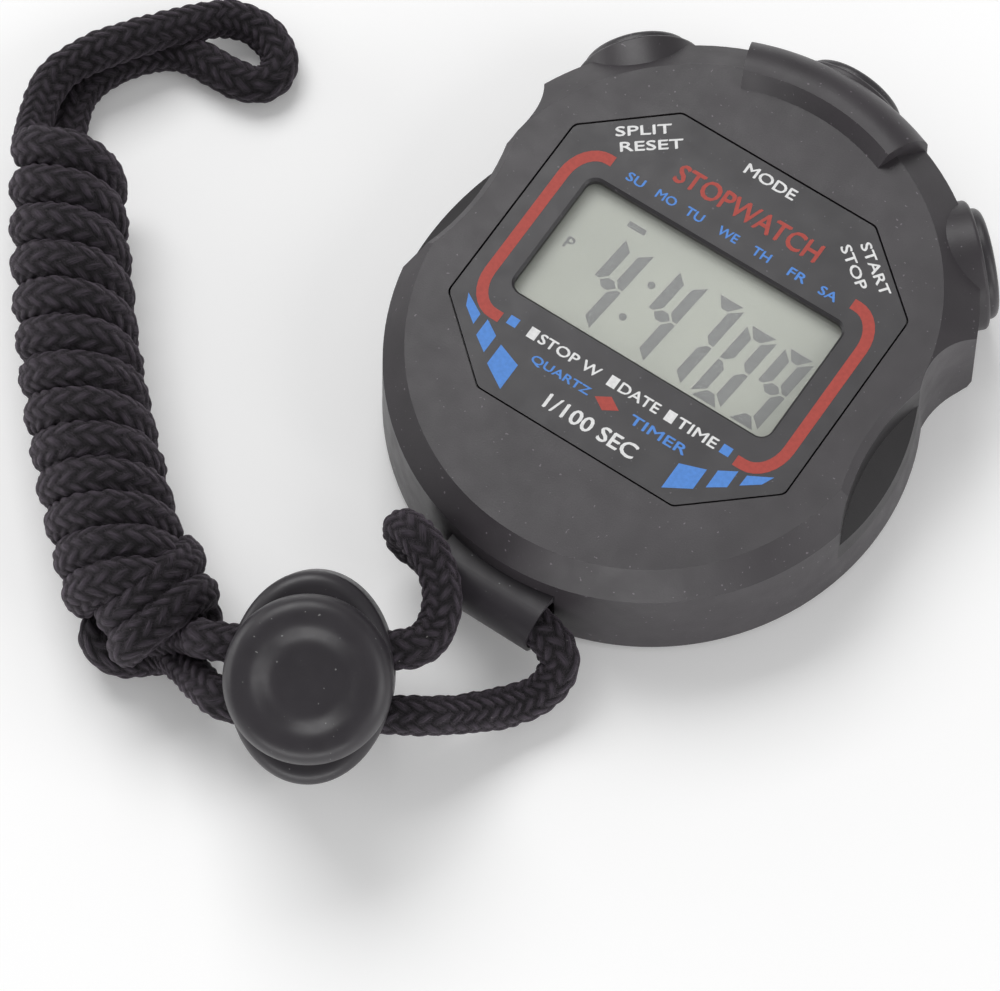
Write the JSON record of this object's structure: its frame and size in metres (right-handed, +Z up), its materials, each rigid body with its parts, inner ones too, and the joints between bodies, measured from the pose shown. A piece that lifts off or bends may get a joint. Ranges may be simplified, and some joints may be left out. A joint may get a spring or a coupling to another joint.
{
  "type": "digital stopwatch",
  "caption": "Hand-held digital stopwatch with an octagonal dial, display window, rim push-buttons and a wound cord with a spring cord lock.",
  "frame": {"origin": "centre of the case's lower circle, on the flat back face that the watch rests on", "axes": "+Z up out of the dial, +Y across the back towards the mode button, +X towards the start/stop button's side"},
  "size_m": [0.1165, 0.1108, 0.0278],
  "materials": {
    "case_plastic": "satin moulded",
    "panel_plastic": "fine satin with print",
    "button_plastic": "satin moulded",
    "gloss_plastic": "semi-gloss",
    "clear_lens": "polished",
    "display_glass": "grey-green liquid crystal cell",
    "reflector": "matt foil",
    "elastomer": "matt",
    "frame_plastic": "moulded",
    "board": "solder resist",
    "resin": "cured resin",
    "component_body": "ceramic",
    "plated_steel": "plated",
    "spring_steel": "bright",
    "screw_steel": "plated",
    "brass_disc": "matt",
    "cord_braid": "braided"
  },
  "bodies": {
    "watch": {"back_cover": "case_plastic", "back_screws": "screw_steel", "battery_cell": "plated_steel", "battery_contacts": "spring_steel", "board_screws": "screw_steel", "button_contacts": "spring_steel", "buzzer_springs": "spring_steel", "chip_components": "component_body", "chip_cover": "resin", "circuit_board": "board", "contact_strips": "elastomer", "cord_hank": "cord_braid", "cord_left": "cord_braid", "cord_lock_body": "gloss_plastic", "cord_lock_spring": "spring_steel", "cord_loop": "cord_braid", "cord_right": "cord_braid", "dial_panel": "panel_plastic", "display_frame": "frame_plastic", "display_lens": "clear_lens", "front_case": "case_plastic", "lanyard_lug": "gloss_plastic", "lcd_glass": "display_glass", "lcd_reflector": "reflector", "mode_spring": "spring_steel", "piezo_buzzer": "brass_disc", "quartz_crystal": "plated_steel", "split_reset_spring": "spring_steel", "start_stop_spring": "spring_steel"},
    "start_stop": {"start_stop_button": "button_plastic"},
    "mode": {"mode_button": "button_plastic"},
    "split_reset": {"split_reset_button": "button_plastic"},
    "lock_plunger": {"cord_lock_plunger": "gloss_plastic"}
  },
  "joints": [
    {"name": "start_stop_press", "type": "slide", "parent": "watch", "child": "start_stop", "axis": [-0.7071, -0.7071, 0], "range_m": [0, 0.0012], "stiffness_N_per_m": 900, "springref_m": -0.001, "deforming": ["start_stop_spring"]},
    {"name": "mode_press", "type": "slide", "parent": "watch", "child": "mode", "axis": [0, -1, 0], "range_m": [0, 0.0012], "stiffness_N_per_m": 900, "springref_m": -0.001, "deforming": ["mode_spring"]},
    {"name": "split_reset_press", "type": "slide", "parent": "watch", "child": "split_reset", "axis": [0.7071, -0.7071, 0], "range_m": [0, 0.0012], "stiffness_N_per_m": 900, "springref_m": -0.001, "deforming": ["split_reset_spring"]},
    {"name": "lock_plunger_press", "type": "slide", "parent": "watch", "child": "lock_plunger", "axis": [-0.2491, 0.3161, -0.9154], "range_m": [0, 0.002], "stiffness_N_per_m": 900, "springref_m": -0.004, "deforming": ["cord_lock_spring"]}
  ]
}
